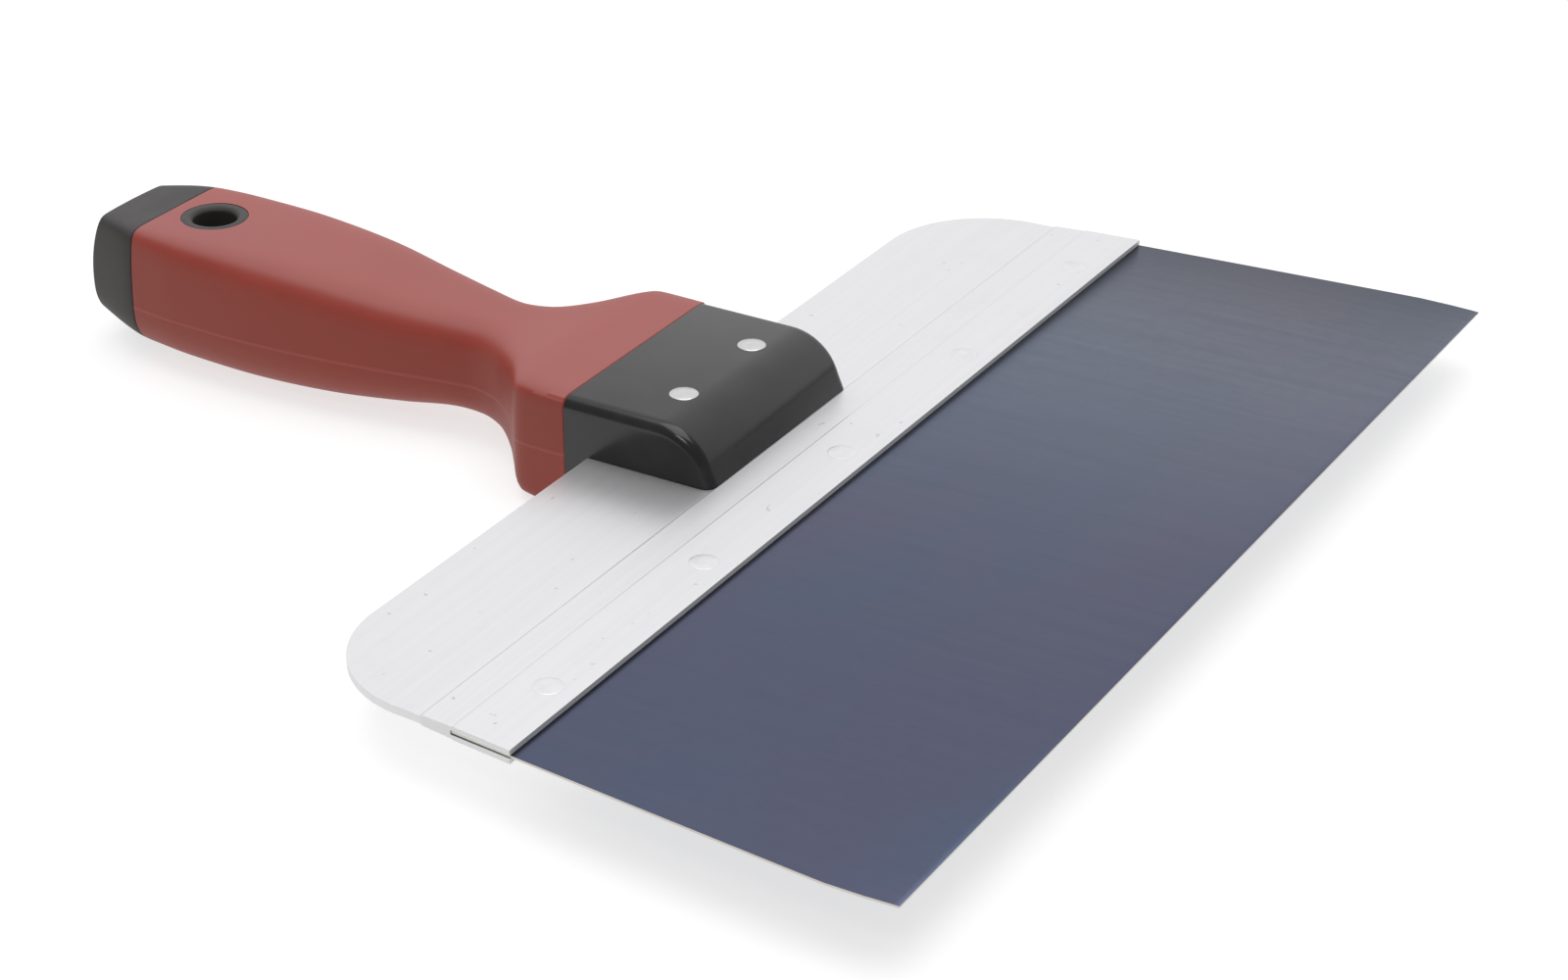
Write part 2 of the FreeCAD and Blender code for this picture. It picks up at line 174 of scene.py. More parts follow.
# ---------------------------------------------------------------- finishes
def blued_steel():
    """Slate-blue oxide on rolled sheet, drifting to purple, bare where it was cut, with a painted shade
    where it enters the slot.
    """
    finish = Finish("blued_steel")
    drift = finish.noise(0.012, 0.006, 0.0, detail=4.0, roughness=0.6)
    rolled = finish.noise(0.02, 0.35, 0.0, detail=5.0, roughness=0.65)
    mottle = finish.noise(0.35, 0.35, 0.35, detail=5.0, roughness=0.7)
    oxide_and_slot_shade = finish.blend(drift.ramp(0.38, 0.62), (0.078, 0.102, 0.158), (0.092, 0.096, 0.150))
    oxide_and_slot_shade = finish.blend(rolled.ramp(0.3, 0.8) * 0.35, oxide_and_slot_shade, (0.064, 0.084, 0.134))
    oxide_and_slot_shade = finish.blend(mottle.ramp(0.45, 0.9) * 0.30, oxide_and_slot_shade, (0.100, 0.112, 0.155))
    # painted shade: the blade's colour is darkened just in front of the backing, standing in for the
    # lip's shadow and dark reflection
    slot_shade = 1 - finish.position(ALONG).ramp(DATUM.x / MM - 0.2, DATUM.x / MM + 1.6)
    oxide_and_slot_shade = finish.blend(slot_shade * 0.75, oxide_and_slot_shade, (0.020, 0.022, 0.032))
    bare = 1 - abs(finish.facing(UP)).ramp(0.35, 0.75)
    finish.set(
        Base_Color=finish.blend(bare, oxide_and_slot_shade, (0.56, 0.53, 0.48)),
        Metallic=1.0,
        Roughness=rolled * 0.12 + mottle * 0.10 + 0.19,
    )
    finish.bump(rolled * 0.6 + mottle * 0.4, 0.004)
    return finish.material


def mill_aluminium():
    """Pale extruded aluminium: fine lines along it, specks, a duller front and dull ends."""
    finish = Finish("mill_aluminium")
    lines = finish.noise(0.9, 0.006, 0.9, detail=2.0, roughness=0.6)
    cloud = finish.noise(0.03, 0.02, 0.03, detail=3.0)
    specks = finish.noise(0.45, 0.45, 0.45, detail=2.0)
    dirt = specks.ramp(0.72, 0.76) * cloud.ramp(0.42, 0.55)
    smudge = finish.noise(0.09, 0.05, 0.09, detail=6.0, roughness=0.7)
    pale = finish.blend(lines.ramp(0.3, 0.7), (0.735, 0.735, 0.750), (0.755, 0.755, 0.770))
    pale = finish.blend(smudge.ramp(0.5, 0.8) * 0.3, pale, (0.66, 0.66, 0.67))
    pale = finish.blend(dirt * 0.6, pale, (0.42, 0.42, 0.43))
    sawn = 1 - abs(finish.facing(UP)).ramp(0.2, 0.7)
    pale = finish.blend(sawn * 0.5, pale, (0.82, 0.82, 0.81))
    brushed = finish.position(ALONG).ramp(WEB_EDGE - 1.0, WEB_EDGE + 0.5)
    finish.set(
        Base_Color=pale,
        Metallic=0.68 - sawn * 0.2,
        Roughness=lines * 0.02 + smudge * 0.04 + sawn * 0.2 + brushed * 0.12 + 0.29,
    )
    finish.bump(lines, 0.0003)
    return finish.material


def rivet_metal(name, paleness):
    """Satin rivet metal with a faint hammered surface."""
    finish = Finish(name)
    beaten = finish.noise(0.5, 0.5, 0.5, detail=2.0)
    grain = finish.noise(3.0, 3.0, 3.0, detail=2.0)
    duller = (paleness * 0.94, paleness * 0.93, paleness * 0.945)
    brighter = (paleness, paleness * 0.99, paleness * 1.01)
    finish.set(
        Base_Color=finish.blend(beaten.ramp(0.3, 0.7), duller, brighter),
        Metallic=0.85,
        Roughness=grain * 0.10 + 0.27,
    )
    finish.bump(beaten, 0.008)
    return finish.material


def nose_plastic():
    """Hard black moulding with a polished skin and a few rub marks."""
    finish = Finish("nose_plastic")
    cloud = finish.noise(0.08, 0.08, 0.08, detail=4.0)
    rubs = finish.noise(0.12, 1.8, 0.6, detail=3.0, roughness=0.7).ramp(0.62, 0.8)
    finish.set(
        Base_Color=finish.blend(cloud.ramp(0.3, 0.7), (0.016, 0.016, 0.017), (0.024, 0.023, 0.024)),
        Roughness=cloud * 0.10 + rubs * 0.10 + 0.16,
        Specular_IOR_Level=0.46,
    )
    finish.bump(cloud, 0.02)
    return finish.material


def butt_plastic():
    """The same moulding left dull at the handle's end, with painted light making the faces that look up
    paler.
    """
    finish = Finish("butt_plastic")
    cloud = finish.noise(0.10, 0.10, 0.10, detail=5.0, roughness=0.65)
    grain = finish.noise(2.2, 2.2, 2.2, detail=2.0)
    bare = finish.blend(cloud.ramp(0.3, 0.75), (0.029, 0.026, 0.024), (0.042, 0.038, 0.036))
    # painted light: a paler copy of the moulding for faces that look up, as if lit from above
    painted_top_light = finish.blend(cloud.ramp(0.3, 0.75), (0.052, 0.049, 0.051), (0.075, 0.070, 0.074))
    finish.set(
        Base_Color=finish.blend(finish.facing(UP).ramp(0.3, 0.95), bare, painted_top_light),
        Roughness=cloud * 0.15 + 0.50,
        Specular_IOR_Level=0.28,
    )
    finish.bump(grain, 0.02)
    return finish.material


def soft_grip():
    """Red soft-touch rubber with grain and wear, with a painted sheen on top, painted shade on the sides
    and a painted highlight along the parting line.
    """
    finish = Finish("soft_grip")
    cloud = finish.noise(0.035, 0.035, 0.035, detail=4.0, roughness=0.6)
    grain = finish.noise(3.0, 3.0, 3.0, detail=3.0)
    wear = finish.noise(0.16, 0.16, 0.16, detail=5.0, roughness=0.7).ramp(0.5, 0.85)
    red = finish.blend(cloud.ramp(0.3, 0.7), (0.298, 0.043, 0.029), (0.328, 0.049, 0.034))
    red = finish.blend(wear * 0.25, red, (0.345, 0.066, 0.052))
    # painted sheen: faces that look up are blended towards a pale pink, as if lit from above
    painted_top_sheen = finish.facing(UP).ramp(0.55, 1.0)
    red = finish.blend(painted_top_sheen * 0.10, red, (0.60, 0.45, 0.48))
    # painted shade: the sides and underside are darkened, as the light falls from above
    painted_side_shade = 1 - finish.facing(UP).ramp(0.0, 0.6)
    red = finish.blend(painted_side_shade * 0.75, red, (0.232, 0.028, 0.012))
    # painted highlight: a paler line along the parting line, where the raised ridge would catch the
    # light
    seam_highlight = 1 - abs(finish.position(UP) - DATUM.z / MM).ramp(0.15, 0.5)
    red = finish.blend(seam_highlight * 0.20, red, (0.46, 0.12, 0.10))
    finish.set(
        Base_Color=red,
        Roughness=cloud * 0.10 + wear * 0.06 + 0.44,
        Specular_IOR_Level=0.42,
    )
    finish.bump(grain, 0.012)
    return finish.material


# ---------------------------------------------------------------- mesh helpers
MERGE = 0.001


def new_piece(name, points, faces, finish):
    """A mesh object from points in metres, its faces turned outwards."""
    mesh = bpy.data.meshes.new(name)
    mesh.from_pydata([tuple(point) for point in points], [], faces)
    mesh.materials.append(finish)
    piece = bpy.data.objects.new(name, mesh)
    bpy.context.scene.collection.objects.link(piece)
    turn_outwards(piece)
    return piece


def turn_outwards(piece):
    """Merge a piece's doubles and point its faces outwards."""
    work = bmesh.new()
    work.from_mesh(piece.data)
    bmesh.ops.remove_doubles(work, verts=work.verts, dist=MERGE * MM)
    bmesh.ops.recalc_face_normals(work, faces=work.faces)
    work.to_mesh(piece.data)
    work.free()


def settle(piece):
    """Turn a piece with modifiers into a plain mesh."""
    depsgraph = bpy.context.evaluated_depsgraph_get()
    mesh = bpy.data.meshes.new_from_object(piece.evaluated_get(depsgraph))
    piece.modifiers.clear()
    piece.data = mesh


def round_over(piece, width, segments, angle=35):
    """Round a piece's edges that are sharper than the angle."""
    bevel = piece.modifiers.new("edges", "BEVEL")
    bevel.width = width * MM
    bevel.segments = segments
    bevel.limit_method = "ANGLE"
    bevel.angle_limit = math.radians(angle)
    bevel.use_clamp_overlap = True
    settle(piece)


def shade(piece, angle=35):
    """Smooth shading, with edges kept crisp where faces meet at more than the angle."""
    smooth = [True] * len(piece.data.polygons)
    piece.data.polygons.foreach_set("use_smooth", smooth)
    piece.data.set_sharp_from_angle(angle=math.radians(angle))


def hand_over(piece, slot, *nodes):
    """Attach a finished piece to the body it rides on, and hide the imported parts it stands for."""
    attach(piece, BODY)
    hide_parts(*nodes)


def ring_faces(first, second):
    """Quads between two closed rings of point numbers."""
    count = len(first)
    faces = []
    for index in range(count):
        after = (index + 1) % count
        faces.append((first[index], first[after], second[after], second[index]))
    return faces


def lathe_mesh(profile, centre, segments):
    """Points and faces of a turned shape about an upright axis, from (radius, height) pairs."""
    rings = []
    points = []
    for radius, height in profile:
        if radius == 0:
            rings.append([len(points)] * segments)
            points.append(centre + Vector((0, 0, height)) * MM)
            continue
        rings.append(range(len(points), len(points) + segments))
        for segment in range(segments):
            turn = 2 * math.pi * segment / segments
            spoke = Vector((radius * math.cos(turn), radius * math.sin(turn), height))
            points.append(centre + spoke * MM)
    faces = []
    for first, second in zip(rings, rings[1:] + rings[:1]):
        for face in ring_faces(first, second):
            corners = tuple(dict.fromkeys(face))
            if len(corners) > 2:
                faces.append(corners)
    return points, faces


def spline(rows, place):
    """Read a table of rows (place, values...) smoothly at a place between its rows."""
    index = 0
    while index < len(rows) - 2 and place > rows[index + 1][0]:
        index += 1
    before, here, there, after = (rows[max(index - 1, 0)], rows[index], rows[index + 1],
                                  rows[min(index + 2, len(rows) - 1)])
    span = there[0] - here[0]
    share = min(max((place - here[0]) / span, 0.0), 1.0)
    result = []
    for column in range(1, len(here)):
        start, stop = here[column], there[column]
        lead = (there[column] - before[column]) / (there[0] - before[0]) * span
        trail = (after[column] - here[column]) / (after[0] - here[0]) * span
        squared, cubed = share ** 2, share ** 3
        result.append((2 * cubed - 3 * squared + 1) * start + (cubed - 2 * squared + share) * lead
                      + (3 * squared - 2 * cubed) * stop + (cubed - squared) * trail)
    return result


# ---------------------------------------------------------------- blade
BLADE_EDGE = (DATUM.x - blade_high.x) / MM
BLADE_ROOT = (DATUM.x - blade_low.x) / MM
BLADE_GAUGE = (blade_high.z - blade_low.z) / MM
EDGE_HALF = 127.0
LAND_HALF = 127.06
BLADE_OUTLINE = ((-70.0, 127.35), (-63.0, 127.4), (-58.0, 127.0),
                 (-30.0, 124.5), (0.0, 121.75), (BLADE_ROOT, 120.4))
EDGE_LAND = 1.2
EDGE_GAUGE = 0.38
BLADE_EASE = 0.07


def make_blade():
    """A thin sheet, flared and tucked in at the corners, a little thinner at its edge."""
    rows = [(BLADE_EDGE, EDGE_HALF, EDGE_GAUGE),
            (BLADE_EDGE + EDGE_LAND, LAND_HALF, BLADE_GAUGE)]
    rows += [(setback, half, BLADE_GAUGE) for setback, half in BLADE_OUTLINE]
    points = []
    rings = []
    for setback, half, gauge in rows:
        rings.append(range(len(points), len(points) + 4))
        for side, level in ((-1, -1), (1, -1), (1, 1), (-1, 1)):
            points.append(at(setback, side * half, level * gauge / 2))
    faces = [tuple(rings[0]), tuple(rings[-1])]
    for first, second in zip(rings, rings[1:]):
        faces += ring_faces(first, second)
    piece = new_piece("blade_sheet", points, faces, blued_steel())
    round_over(piece, BLADE_EASE, 2, 50)
    shade(piece)
    hand_over(piece, "blued_steel", "blade")


# ---------------------------------------------------------------- backing
BACKING_DEPTH = (backing_high.x - backing_low.x) / MM
BACKING_HALF = backing_high.y / MM
HEEL_HALF = BACKING_HALF - 2.4  # the ends taper to this
HEEL_START = 22.0
CORNER = 24.0
CORNER_STEPS = 28
GROOVE_FRONT, GROOVE_BACK = 12.3, 12.7
STEP_TOP, STEP_FOOT = 19.2, 19.8
WEB_EDGE = DATUM.x / MM - (STEP_TOP + STEP_FOOT) / 2
BACKING_EASE = 0.16
LIP = (backing_high.z - DATUM.z) / MM
WEB = 0.8
SLOT_DEPTH = 13.0
SLOT_MOUTH = BLADE_GAUGE / 2 + 0.02
SLOT_HALF = 0.42


def backing_half(setback):
    """The backing's half length at a setback: tapered ends, then a round corner."""
    taper = min(max(setback / HEEL_START, 0.0), 1.0)
    half = BACKING_HALF + (HEEL_HALF - BACKING_HALF) * taper
    into = setback - (BACKING_DEPTH - CORNER)
    if into > 0:
        half -= CORNER - math.sqrt(max(CORNER ** 2 - into ** 2, 0.0))
    return half


def backing_top(setback):
    """Height of the backing's upper face: fork, sloping band, then the thin web."""
    table = ((0.0, LIP), (GROOVE_FRONT, LIP), (GROOVE_BACK, LIP - 0.13),
             (STEP_TOP, LIP - 0.30), (STEP_FOOT, WEB), (BACKING_DEPTH, WEB))
    for (start, high), (stop, low) in zip(table, table[1:]):
        if setback <= stop:
            return high + (low - high) * (setback - start) / (stop - start)
    return WEB


def make_backing():
    """The extruded backing with its open slot, from sections across the blade."""
    corner_start = BACKING_DEPTH - CORNER
    stations = [0.0, 4.0, 8.0, GROOVE_FRONT, GROOVE_BACK, SLOT_DEPTH, STEP_TOP, STEP_FOOT,
                corner_start]
    for step in range(1, CORNER_STEPS + 1):
        stations.append(corner_start + CORNER * math.sin(step / CORNER_STEPS * math.pi / 2))
    points = []
    columns = []
    for setback in stations:
        half = backing_half(setback)
        top = backing_top(setback)
        levels = [top, -top]
        if setback <= SLOT_DEPTH:
            slot = SLOT_MOUTH + (SLOT_HALF - SLOT_MOUTH) * setback / SLOT_DEPTH
            levels = [top, slot, -slot, -top]
        column = {}
        for side in (-1, 1):
            for order, level in enumerate(levels):
                column[side, order] = len(points)
                points.append(at(setback, side * half, level))
        column["last"] = len(levels) - 1
        columns.append(column)
    faces = []
    for here, there in zip(columns, columns[1:]):
        lowest, next_lowest = here["last"], there["last"]
        for order, following in ((0, 0), (lowest, next_lowest)):
            faces.append((here[-1, order], here[1, order], there[1, following],
                          there[-1, following]))
        for side in (-1, 1):
            if next_lowest == 3:
                faces.append((here[side, 0], here[side, 1], there[side, 1], there[side, 0]))
                faces.append((here[side, 2], here[side, 3], there[side, 3], there[side, 2]))
            else:
                near = [here[side, order] for order in range(lowest + 1)]
                faces.append((*near, there[side, 1], there[side, 0]))
        if next_lowest == 3:
            faces.append((here[-1, 1], here[1, 1], there[1, 1], there[-1, 1]))
            faces.append((here[-1, 2], here[1, 2], there[1, 2], there[-1, 2]))
        elif lowest == 3:
            faces.append((here[-1, 1], here[1, 1], here[1, 2], here[-1, 2]))
    front, back = columns[0], columns[-1]
    for order in (0, 2):
        faces.append((front[-1, order], front[1, order], front[1, order + 1],
                      front[-1, order + 1]))
    faces.append((back[-1, 0], back[1, 0], back[1, 1], back[-1, 1]))
    piece = new_piece("backing_extrusion", points, faces, mill_aluminium())
    round_over(piece, BACKING_EASE, 2)
    shade(piece, 12)
    hand_over(piece, "mill_aluminium", "backing")


# ---------------------------------------------------------------- rivets
RIVET_HEAD = 2.85
RIM_EASE = 0.05
DOME_STEPS = 10
RIVET_SEGMENTS = 48
ROW_INPUTS = (("Rivet", "NodeSocketObject"), ("Count", "NodeSocketInt"),
              ("First", "NodeSocketVector"), ("Step", "NodeSocketVector"))


def rivet_row_tree(finish):
    """Copies one rivet along a row, and joins them into one mesh."""
    tree = bpy.data.node_groups.new("rivet_row", "GeometryNodeTree")
    for name, kind in ROW_INPUTS:
        tree.interface.new_socket(name, in_out="INPUT", socket_type=kind)
    tree.interface.new_socket("Geometry", in_out="OUTPUT", socket_type="NodeSocketGeometry")
    nodes = Nodes(tree)
    entry = tree.nodes.new("NodeGroupInput")
    size = {name: Wire(nodes, entry.outputs[name]) for name, _ in ROW_INPUTS}
    values = {"Count": size["Count"], "Start Location": size["First"], "Offset": size["Step"]}
    places = nodes.node("GeometryNodeMeshLine", {}, values)
    rivet = nodes.node("GeometryNodeObjectInfo", {}, {"Object": size["Rivet"]}, "Geometry")
    row = nodes.node("GeometryNodeInstanceOnPoints", {}, {"Points": places, "Instance": rivet})
    row = nodes.node("GeometryNodeRealizeInstances", {}, {"Geometry": row})
    row = nodes.node("GeometryNodeSetMaterial", {}, {"Geometry": row, "Material": finish})
    exit_node = tree.nodes.new("NodeGroupOutput")
    nodes.feed(exit_node.inputs["Geometry"], row)
    return tree


def rivet_profile(shank, seat, rim, crown):
    """Half a rivet from its middle to the crown of its low dome, the rim eased over."""
    drop = crown - rim
    dome = (RIVET_HEAD ** 2 + drop ** 2) / (2 * drop)
    profile = [(shank, 0.0), (shank, seat), (RIVET_HEAD, seat)]
    profile += [(RIVET_HEAD, seat + rim * 0.5), (RIVET_HEAD - RIM_EASE, seat + rim)]
    for step in range(1, DOME_STEPS):
        radius = (RIVET_HEAD - RIM_EASE) * (1 - step / DOME_STEPS)
        height = math.sqrt(dome ** 2 - radius ** 2) - math.sqrt(dome ** 2 - RIVET_HEAD ** 2)
        profile.append((radius, seat + rim + height))
    return profile + [(0.0, seat + crown)]


def make_rivets(name, nodes, finish, shank, seat, rim, crown):
    """A row of like rivets where the frame's nodes say, as one plain mesh."""
    middles = [(low + high) / 2 for low, high in map(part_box, nodes)]
    upper = rivet_profile(shank, seat, rim, crown)
    lower = [(radius, -height) for radius, height in reversed(upper[1:])]
    turned = new_piece("one_rivet", *lathe_mesh(lower + upper, Vector(), RIVET_SEGMENTS), finish)
    piece = bpy.data.objects.new(name, bpy.data.meshes.new(name))
    bpy.context.scene.collection.objects.link(piece)
    modifier = piece.modifiers.new("row", "NODES")
    modifier.node_group = rivet_row_tree(finish)
    values = {"Rivet": turned, "Count": len(middles), "First": middles[0],
              "Step": (middles[-1] - middles[0]) / (len(middles) - 1)}
    for item in modifier.node_group.interface.items_tree:
        if item.in_out == "INPUT":
            modifier[item.identifier] = values[item.name]
    settle(piece)
    bpy.data.objects.remove(turned)
    shade(piece, 40)
    hand_over(piece, "rivet_metal", *nodes)


# ---------------------------------------------------------------- nose block
core_low, core_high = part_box("handle_core")
BLOCK_BACK = 52.5
BLOCK_FRONT = 19.25
BAND_FRONT = 20.6
BLOCK_HALF = core_high.y / MM
BLOCK_TOP = 12.25
FLAT_STATION = BLOCK_BACK - 8
BLOCK_ROUND = 2.6
ROLL_STEPS = 18
NEAR = 0.01
ROLL_START = 31.5
LIP_BAND = 4.3
BLOCK_BASE = backing_top(BLOCK_FRONT)


def block_side():
    """The nose block's outline above the backing: flat top, long front roll, lip band."""
    reach = ROLL_START - BAND_FRONT
    fall = BLOCK_TOP - LIP_BAND
    radius = (reach ** 2 + fall ** 2) / (2 * fall)
    sweep = math.asin(reach / radius)
    outline = [(BLOCK_BACK, BLOCK_TOP), (FLAT_STATION, BLOCK_TOP)]
    for step in range(ROLL_STEPS + 1):
        turn = sweep * step / ROLL_STEPS
        setback = ROLL_START - radius * math.sin(turn)
        outline.append((setback, BLOCK_TOP - radius * (1 - math.cos(turn))))
    outline.append((BLOCK_FRONT, BLOCK_BASE + 0.1))
    return outline


def make_nose_block(finish):
    """The hard nose, clasping the backing's web: two jaws joined behind the web."""
    upper = block_side() + [(BACKING_DEPTH, WEB)]
    lower = [(setback, -height) for setback, height in reversed(upper)]
    outline = upper + lower
    points = []
    sides = []
    for side in (-1, 1):
        sides.append(range(len(points), len(points) + len(outline)))
        for setback, height in outline:
            points.append(at(setback, side * BLOCK_HALF, height))
    faces = ring_faces(*sides) + [tuple(sides[0]), tuple(sides[1])]
    piece = new_piece("nose_block", points, faces, finish)
    mark_sides(piece)
    bevel = piece.modifiers.new("edges", "BEVEL")
    bevel.width = BLOCK_ROUND * MM
    bevel.segments = 6
    bevel.limit_method = "WEIGHT"
    settle(piece)
    shade(piece, 20)
    hand_over(piece, "hard_plastic", "handle_core")


def mark_sides(piece):
    """Give full bevel weight to the block's outer side edges, ahead of its back face."""
    mesh = piece.data
    weights = mesh.attributes.new("bevel_weight_edge", "FLOAT", "EDGE")
    for edge in mesh.edges:
        ends = [(mesh.vertices[number].co - DATUM) / MM for number in edge.vertices]
        on_side = all(abs(abs(end.y) - BLOCK_HALF) < NEAR for end in ends)
        along = abs(ends[0].y - ends[1].y) < NEAR
        outer = all(abs(end.z) > BLOCK_BASE - 0.2 for end in ends)
        ahead = any(-end.x < BLOCK_BACK - 0.1 for end in ends)
        inside = any(abs(end.z) < BLOCK_BASE for end in ends)
        weights.data[edge.index].value = float(on_side and along and outer and ahead and not inside)


# ---------------------------------------------------------------- handle form
GRIP_BACK = 167.8
HANDLE_BACK = (DATUM.x - core_low.x) / MM
PALM_DEPTH = DATUM.z / MM
# setback, half width, height above, depth below, fullness of the upper and lower corners,
# and how far the sides lean in towards the top, as a share of the half width
HANDLE = (
    (52.5, 26.45, 12.35, 12.30, 20.0, 20.0, 0.00),
    (59.0, 26.35, 12.60, 12.25, 18.0, 16.0, 0.00),
    (63.0, 26.05, 12.80, 12.10, 16.0, 13.0, 0.00),
    (65.0, 25.05, 12.82, 11.95, 13.0, 9.5, 0.00),
    (67.5, 22.10, 12.75, 11.85, 10.0, 7.0, 0.00),
    (71.0, 18.20, 12.45, 11.60, 7.5, 4.6, 0.01),
    (76.0, 13.95, 12.05, 11.00, 5.6, 3.1, 0.02),
    (80.0, 11.90, 11.98, 10.10, 4.7, 2.6, 0.03),
    (85.0, 10.90, 12.20, 9.30, 4.2, 2.35, 0.04),
    (92.0, 11.85, 12.80, 8.90, 4.4, 2.3, 0.04),
    (104.0, 14.00, 13.85, 10.60, 5.0, 2.3, 0.04),
    (120.0, 16.40, 15.70, 12.35, 5.8, 2.3, 0.04),
    (138.0, 17.70, 16.85, PALM_DEPTH - 0.05, 6.8, 2.3, 0.05),
    (156.0, 17.40, 17.05, 12.60, 9.5, 2.4, 0.07),
    (165.0, 16.45, 16.95, 11.90, 13.0, 2.5, 0.08),
    (169.0, 15.80, 16.80, 11.40, 15.0, 2.6, 0.09),
    (173.0, 14.40, 16.55, 10.70, 17.0, 2.7, 0.09),
    (178.0, 12.30, 16.10, 9.70, 17.0, 2.8, 0.09),
    (186.0, 8.80, 15.20, 8.20, 15.0, 2.8, 0.09),
)
AROUND = 144
TURNS = [2 * math.pi * step / AROUND for step in range(AROUND)]
TURNS += [middle + offset for middle in (0, math.pi) for offset in (-0.022, -0.008, 0.008, 0.022)]
TURNS = sorted(turn % (2 * math.pi) for turn in TURNS)
SEAM_RISE = 0.07
SEAM_HALF = 0.3
JOINT_EASE = 0.22
GRIP_STEPS = 170


def handle_section(setback, inset=0.0):
    """Points round the handle at a setback, as pairs of across and height."""
    half, above, below, full_above, full_below, lean = spline(HANDLE, setback)
    half, above, below = half - inset, above - inset, below - inset
    points = []
    for turn in TURNS:
        cosine, sine = math.cos(turn), math.sin(turn)
        fullness = full_above if sine >= 0 else full_below
        height = above if sine >= 0 else below
        reach = (abs(cosine) ** fullness + abs(sine) ** fullness) ** (-1 / fullness)
        rise = max(reach * sine, 0.0)
        across = half * reach * cosine * (1 - lean * rise ** 2)
        level = height * reach * sine
        points.append((across, level))
    return points


def loft(rings, name, finish):
    """A closed mesh through rings of points, with a flat cap at each end."""
    points = []
    numbers = []
    for ring in rings:
        numbers.append(range(len(points), len(points) + len(ring)))
        points += ring
    faces = [tuple(numbers[0]), tuple(numbers[-1])]
    for first, second in zip(numbers, numbers[1:]):
        faces += ring_faces(first, second)
    return new_piece(name, points, faces, finish)


def with_seam(section):
    """Raise the thin parting line that runs along both sides at the middle plane."""
    raised = []
    for across, level in section:
        rise = SEAM_RISE * max(0.0, 1 - abs(level) / SEAM_HALF)
        raised.append((across + math.copysign(rise, across), level))
    return raised


EYELET_SETBACK = 157.4
EYELET_RADIUS = 7.1
HANG_RADIUS = 4.6
EYELET_TOP = 17.0
EYELET_BOTTOM = 12.75
HOLE_SEGMENTS = 96
CUTTER_REACH = 30
END_CENTRE = 1.0
END_ROLL = 27
END_BOW = 100
END_ROUNDS = 12
FAN_CENTRE = 2
BUTT_ROWS = 22
BUTT_FANS = 10
BUTT_EASE = 0.35


def make_grip(finish):
    """The soft sleeve from the shoulder to the butt, with a hole for the eyelet."""
    start = BLOCK_BACK + JOINT_EASE
    length = GRIP_BACK - BLOCK_BACK - 2 * JOINT_EASE
    rows = [(BLOCK_BACK, JOINT_EASE), (start, 0.0)]
    for step in range(1, GRIP_STEPS):
        rows.append((start + length * step / GRIP_STEPS, 0.0))
    rows += [(GRIP_BACK - JOINT_EASE, 0.0), (GRIP_BACK, JOINT_EASE)]
    rings = []
    for setback, inset in rows:
        section = with_seam(handle_section(setback, inset))
        rings.append([at(setback, across, level) for across, level in section])
    piece = loft(rings, "grip_sleeve_soft", finish)
    post = [(0, -CUTTER_REACH), (EYELET_RADIUS, -CUTTER_REACH),
            (EYELET_RADIUS, CUTTER_REACH), (0, CUTTER_REACH)]
    cutter = new_piece("eyelet_hole", *lathe_mesh(post, at(EYELET_SETBACK, 0, 0), HOLE_SEGMENTS), finish)
    cut = piece.modifiers.new("eyelet", "BOOLEAN")
    cut.operation = "DIFFERENCE"
    cut.solver = "EXACT"
    cut.object = cutter
    settle(piece)
    bpy.data.objects.remove(cutter)
    shade(piece, 32)
    hand_over(piece, "soft_grip", "grip_sleeve")


def end_setback(across, level):
    """Setback of the butt's convex end face."""
    return HANDLE_BACK - (level - END_CENTRE) ** 2 / (2 * END_ROLL) - across ** 2 / (2 * END_BOW)


def make_butt(finish):
    """The core's bare end: faceted in plan, with a convex end face."""
    limits = []
    for step in range(len(TURNS)):
        setback = HANDLE_BACK
        for _ in range(END_ROUNDS):
            across, level = handle_section(setback)[step]
            setback = end_setback(across, level)
        limits.append(setback)
    joint = [at(GRIP_BACK, across, level) for across, level in handle_section(GRIP_BACK, JOINT_EASE)]
    rings = [joint]
    start = GRIP_BACK + JOINT_EASE
    for row in range(BUTT_ROWS + 1):
        share = row / BUTT_ROWS
        ring = []
        for step, limit in enumerate(limits):
            setback = start + (limit - start) * share
            across, level = handle_section(setback)[step]
            ring.append(at(setback, across, level))
        rings.append(ring)
    rim = [((point - DATUM) / MM) for point in rings[-1]]
    for fan in range(1, BUTT_FANS):
        share = 1 - fan / BUTT_FANS
        ring = []
        for point in rim:
            across, level = point.y * share, (point.z - FAN_CENTRE) * share + FAN_CENTRE
            ring.append(at(end_setback(across, level), across, level))
        rings.append(ring)
    piece = loft(rings, "butt_end", finish)
    round_over(piece, BUTT_EASE, 3, 32)
    shade(piece, 32)
    hand_over(piece, "hard_plastic", "handle_core")


def make_eyelet(finish):
    """The core's ring round the hang hole: a flat face, then a lead-in to the bore."""
    half = [(EYELET_RADIUS, 0.30), (EYELET_RADIUS - 0.08, 0.10), (EYELET_RADIUS - 0.28, 0.0),
            (5.45, 0.02), (5.25, 0.10), (4.80, 0.55), (4.65, 0.80), (HANG_RADIUS, 1.1)]
    profile = [(radius, EYELET_TOP - drop) for radius, drop in half]
    profile += [(radius, drop - EYELET_BOTTOM) for radius, drop in reversed(half)]
    ring = lathe_mesh(profile, at(EYELET_SETBACK, 0, 0), HOLE_SEGMENTS)
    piece = new_piece("hang_eyelet", *ring, finish)
    shade(piece, 30)
    hand_over(piece, "hard_plastic", "handle_core")


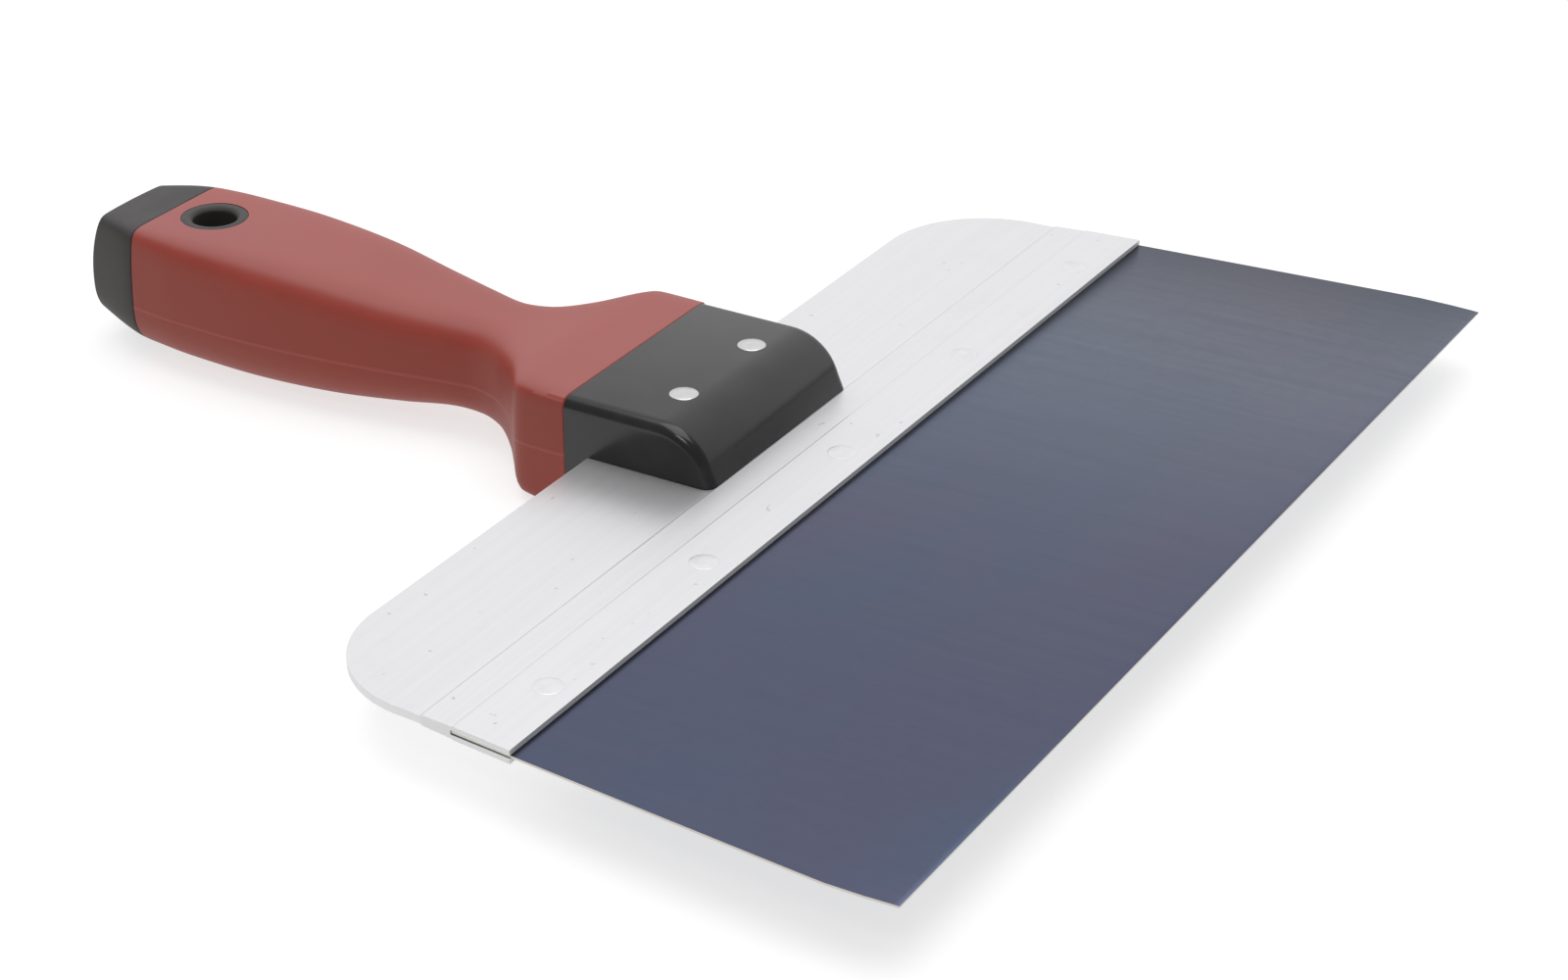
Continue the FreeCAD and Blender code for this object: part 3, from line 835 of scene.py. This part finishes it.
# ---------------------------------------------------------------- studio
VIEW_TARGET = (8.9, -16.9, 0.0)
VIEW_AZIMUTH = 30.16
VIEW_ELEVATION = 27.84
VIEW_ROLL = 0.36
VIEW_DISTANCE = 659.8
VIEW_LENS = 79.9
FLOOR_REACH = 4.0
BACKDROP_SIDE = (-0.5, 0.87, 0.0)
SURROUND_DIM = 0.20
SURROUND_GAIN = 0.84


def make_camera():
    """A long lens from the front right, above the blade."""
    azimuth, elevation = math.radians(VIEW_AZIMUTH), math.radians(VIEW_ELEVATION)
    back = Vector((math.sin(azimuth) * math.cos(elevation),
                   -math.cos(azimuth) * math.cos(elevation), math.sin(elevation)))
    camera = bpy.data.objects.new("camera", bpy.data.cameras.new("camera"))
    bpy.context.scene.collection.objects.link(camera)
    camera.data.lens = VIEW_LENS
    camera.data.sensor_width = 36
    camera.data.clip_end = 20
    camera.location = at(*VIEW_TARGET) + back * VIEW_DISTANCE * MM
    camera.rotation_mode = "QUATERNION"
    roll = Quaternion((0, 0, 1), math.radians(VIEW_ROLL))
    camera.rotation_quaternion = (-back).to_track_quat("-Z", "Y") @ roll
    bpy.context.scene.camera = camera


def make_panel(name, place, size, power):
    """A soft light panel aimed at the tool."""
    light = bpy.data.lights.new(name, "AREA")
    light.shape = "RECTANGLE"
    light.size, light.size_y = size
    light.energy = power
    panel = bpy.data.objects.new(name, light)
    bpy.context.scene.collection.objects.link(panel)
    panel.location = Vector(place)
    panel.rotation_mode = "QUATERNION"
    panel.rotation_quaternion = (-Vector(place)).to_track_quat("-Z", "Y")
    panel.visible_camera = False


def make_studio():
    """A lit white floor, a surround that is brighter behind the tool, and two panels above it."""
    finish = Finish("studio_floor", Roughness=0.9, Specular_IOR_Level=0.0,
                    Emission_Color=(1.0, 1.0, 1.0, 1.0), Emission_Strength=0.70)
    drift = finish.noise(0.002, 0.002, 0.002, detail=1.0)
    finish.set(Base_Color=finish.blend(drift, (0.36, 0.36, 0.36), (0.38, 0.38, 0.38)))
    corners = [Vector((x, y, 0)) * FLOOR_REACH for x, y in ((-1, -1), (1, -1), (1, 1), (-1, 1))]
    floor = new_piece("studio_floor", corners, [(0, 1, 2, 3)], finish.material)
    world = bpy.data.worlds.new("studio")
    world.use_nodes = True
    surround = Nodes(world.node_tree)
    direction = surround.node("ShaderNodeTexCoord", {}, {}, "Generated")
    height = surround.node("ShaderNodeSeparateXYZ", {}, {"Vector": direction}, 2)
    values = {0: direction, 1: BACKDROP_SIDE}
    behind = surround.node("ShaderNodeVectorMath", {"operation": "DOT_PRODUCT"}, values, "Value")
    glow = behind.ramp(-0.15, 0.45) * height.ramp(0.0, 0.16) * SURROUND_GAIN + SURROUND_DIM
    background = world.node_tree.nodes["Background"]
    surround.feed(background.inputs["Strength"], glow)
    surround.feed(background.inputs["Color"], (1.0, 1.0, 1.0, 1.0))
    bpy.context.scene.world = world
    make_panel("overhead_panel", place=(0.1, -0.1, 1.7), size=(1.6, 1.4), power=17)
    make_panel("key_panel", place=(0.33, -1.03, 1.2), size=(0.5, 0.3), power=2.4)
    bpy.context.scene.view_settings.view_transform = "Standard"


# ---------------------------------------------------------------- assembly
make_camera()
make_studio()
make_blade()
make_backing()
make_rivets("blade_rivets", [f"blade_rivet_{number}" for number in range(1, 6)],
            rivet_metal("flush_rivet_metal", 0.78), shank=1.6, seat=LIP, rim=0.05, crown=0.20)
make_rivets("handle_rivets", ["handle_rivet_right", "handle_rivet_left"],
            rivet_metal("rivet_metal", 0.63), shank=2.2, seat=BLOCK_TOP, rim=0.10, crown=0.50)
make_nose_block(nose_plastic())
make_grip(soft_grip())
butt_finish = butt_plastic()
make_butt(butt_finish)
make_eyelet(butt_finish)
